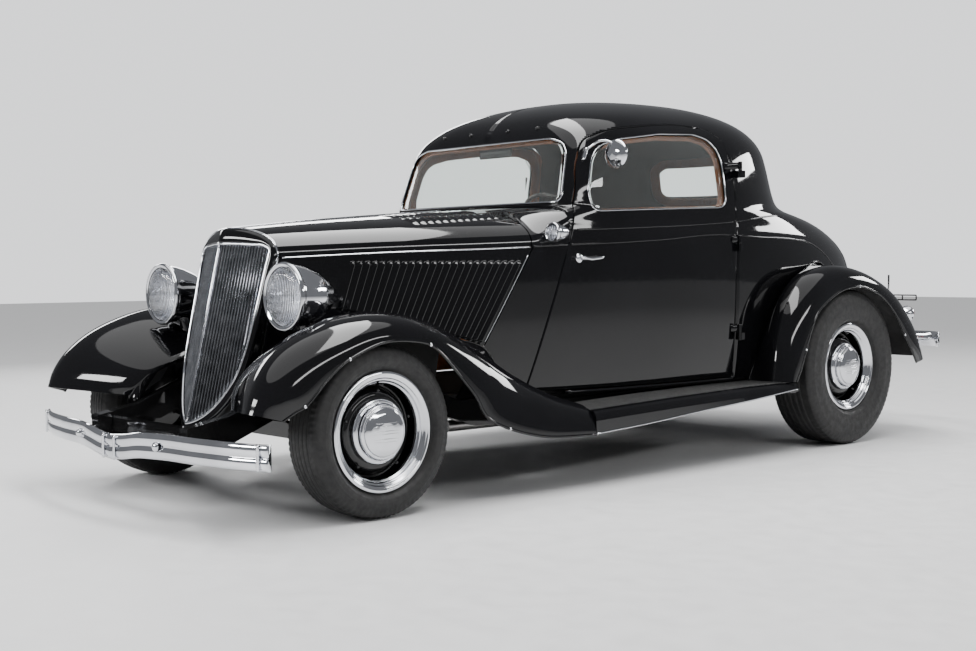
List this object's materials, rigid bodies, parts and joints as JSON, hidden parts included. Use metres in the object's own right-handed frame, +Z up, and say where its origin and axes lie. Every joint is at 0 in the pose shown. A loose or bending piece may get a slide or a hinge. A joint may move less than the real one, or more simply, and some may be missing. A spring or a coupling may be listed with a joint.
{
  "type": "hot rod coupe",
  "caption": "Low fendered three-window coupe with a raked prow grille, free-standing headlights, running boards, opening doors, butterfly hood and deck lid, and steered front wheels.",
  "frame": {"origin": "centre of the car's box on the ground under the tyres", "axes": "+Z up, the nose faces -Y, the driver's side is +X"},
  "size_m": [1.6842, 4.585, 1.6205],
  "materials": {
    "body_paint": "gloss black enamel",
    "chassis_paint": "satin black chassis paint",
    "chrome": "polished chrome plate",
    "grille_metal": "dark painted grille bars with bright edges",
    "glass": "clear safety glass",
    "lamp_glass": "fluted clear lamp glass",
    "red_lens": "red lamp lens in a bright rim",
    "tyre": "black ribbed tyre rubber",
    "wheel": "black steel wheel with bright cap and trim ring",
    "board_rubber": "ribbed black rubber on steel",
    "leather": "cognac brown leather",
    "trim_brown": "brown painted garnish",
    "helm": "dark brown gloss rim",
    "floor_mat": "dark carpet over steel",
    "engine_iron": "painted cast iron",
    "radiator_core": "black radiator core",
    "exhaust_steel": "dull steel tube"
  },
  "bodies": {
    "chassis": {"frame": "chassis_paint", "floor_pan": "floor_mat", "body_shell": "body_paint", "cowl": "body_paint", "windshield": "glass", "rear_window": "glass", "hinge_body": "body_paint", "hood_hinge": "body_paint", "hood_side_left": "body_paint", "hood_side_right": "body_paint", "grille_shell": "body_paint", "grille_bars": "grille_metal", "radiator": "radiator_core", "engine": "engine_iron", "front_fender_left": "body_paint", "front_fender_right": "body_paint", "rear_fender_left": "body_paint", "rear_fender_right": "body_paint", "running_board_left": "board_rubber", "running_board_right": "board_rubber", "front_bumper": "chrome", "rear_bumper": "chrome", "headlights": "chrome", "headlight_lenses": "lamp_glass", "headlight_stands": "body_paint", "cowl_lamps": "chrome", "tail_lamps": "red_lens", "front_axle": "chassis_paint", "rear_axle": "chassis_paint", "seat": "leather", "dashboard": "trim_brown", "exhaust": "exhaust_steel", "fuel_tank": "chassis_paint"},
    "door_left": {"door_left": "body_paint", "door_glass_left": "glass", "door_fittings_left": "chrome"},
    "door_right": {"door_right": "body_paint", "door_glass_right": "glass", "door_fittings_right": "chrome"},
    "deck": {"deck_lid": "body_paint", "plate_bracket": "body_paint"},
    "hood_top_left": {"hood_top_left": "body_paint"},
    "hood_top_right": {"hood_top_right": "body_paint"},
    "knuckle_left": {"knuckle_left": "chassis_paint"},
    "knuckle_right": {"knuckle_right": "chassis_paint"},
    "tie_rod": {"tie_rod": "chassis_paint"},
    "steering_wheel": {"steering_wheel": "helm"},
    "front_wheel_left": {"front_wheel_left": "wheel", "front_tyre_left": "tyre"},
    "front_wheel_right": {"front_wheel_right": "wheel", "front_tyre_right": "tyre"},
    "rear_wheel_left": {"rear_wheel_left": "wheel", "rear_tyre_left": "tyre"},
    "rear_wheel_right": {"rear_wheel_right": "wheel", "rear_tyre_right": "tyre"}
  },
  "joints": [
    {"name": "door_left_hinge", "type": "hinge", "parent": "chassis", "child": "door_left", "pos_m": [0.684, 0.4395, 0.96], "axis": [0, 0, 1], "range_deg": [0, 62]},
    {"name": "door_right_hinge", "type": "hinge", "parent": "chassis", "child": "door_right", "pos_m": [-0.684, 0.4395, 0.96], "axis": [0, 0, -1], "range_deg": [0, 62]},
    {"name": "deck_hinge", "type": "hinge", "parent": "chassis", "child": "deck", "pos_m": [0, 1.3475, 1.131], "axis": [1, 0, 0], "range_deg": [0, 60]},
    {"name": "hood_top_left_hinge", "type": "hinge", "parent": "chassis", "child": "hood_top_left", "pos_m": [0, -1.2825, 1.05927], "axis": [0, -0.9962, -0.0874], "range_deg": [0, 50]},
    {"name": "hood_top_right_hinge", "type": "hinge", "parent": "chassis", "child": "hood_top_right", "pos_m": [0, -1.2825, 1.05927], "axis": [0, 0.9962, 0.0874], "range_deg": [0, 50]},
    {"name": "steer_left", "type": "hinge", "parent": "chassis", "child": "knuckle_left", "pos_m": [0.655, -1.6825, 0.2985], "axis": [0, 0, 1], "range_deg": [-28, 28]},
    {"name": "steer_right", "type": "hinge", "parent": "chassis", "child": "knuckle_right", "pos_m": [-0.655, -1.6825, 0.2985], "axis": [0, 0, 1], "range_deg": [-28, 28]},
    {"name": "tie_rod_slide", "type": "slide", "parent": "chassis", "child": "tie_rod", "axis": [1, 0, 0], "range_m": [-0.0535, 0.0535]},
    {"name": "steering_wheel_turn", "type": "hinge", "parent": "chassis", "child": "steering_wheel", "pos_m": [0.33, -0.3375, 1.02], "axis": [0, 0.7474, 0.6644], "range_deg": [-400, 400]},
    {"name": "front_left_spin", "type": "hinge", "parent": "knuckle_left", "child": "front_wheel_left", "pos_m": [0.715, -1.6825, 0.2985], "axis": [1, 0, 0], "continuous": true},
    {"name": "front_right_spin", "type": "hinge", "parent": "knuckle_right", "child": "front_wheel_right", "pos_m": [-0.715, -1.6825, 0.2985], "axis": [1, 0, 0], "continuous": true},
    {"name": "rear_left_spin", "type": "hinge", "parent": "chassis", "child": "rear_wheel_left", "pos_m": [0.7, 1.1625, 0.373], "axis": [1, 0, 0], "continuous": true},
    {"name": "rear_right_spin", "type": "hinge", "parent": "chassis", "child": "rear_wheel_right", "pos_m": [-0.7, 1.1625, 0.373], "axis": [1, 0, 0], "continuous": true}
  ],
  "couplings": [
    {"joint": "steer_right", "follows": "steer_left", "ratio": 1},
    {"joint": "tie_rod_slide", "follows": "steer_left", "m_per_rad": -0.108},
    {"joint": "steering_wheel_turn", "follows": "steer_left", "ratio": 14}
  ]
}
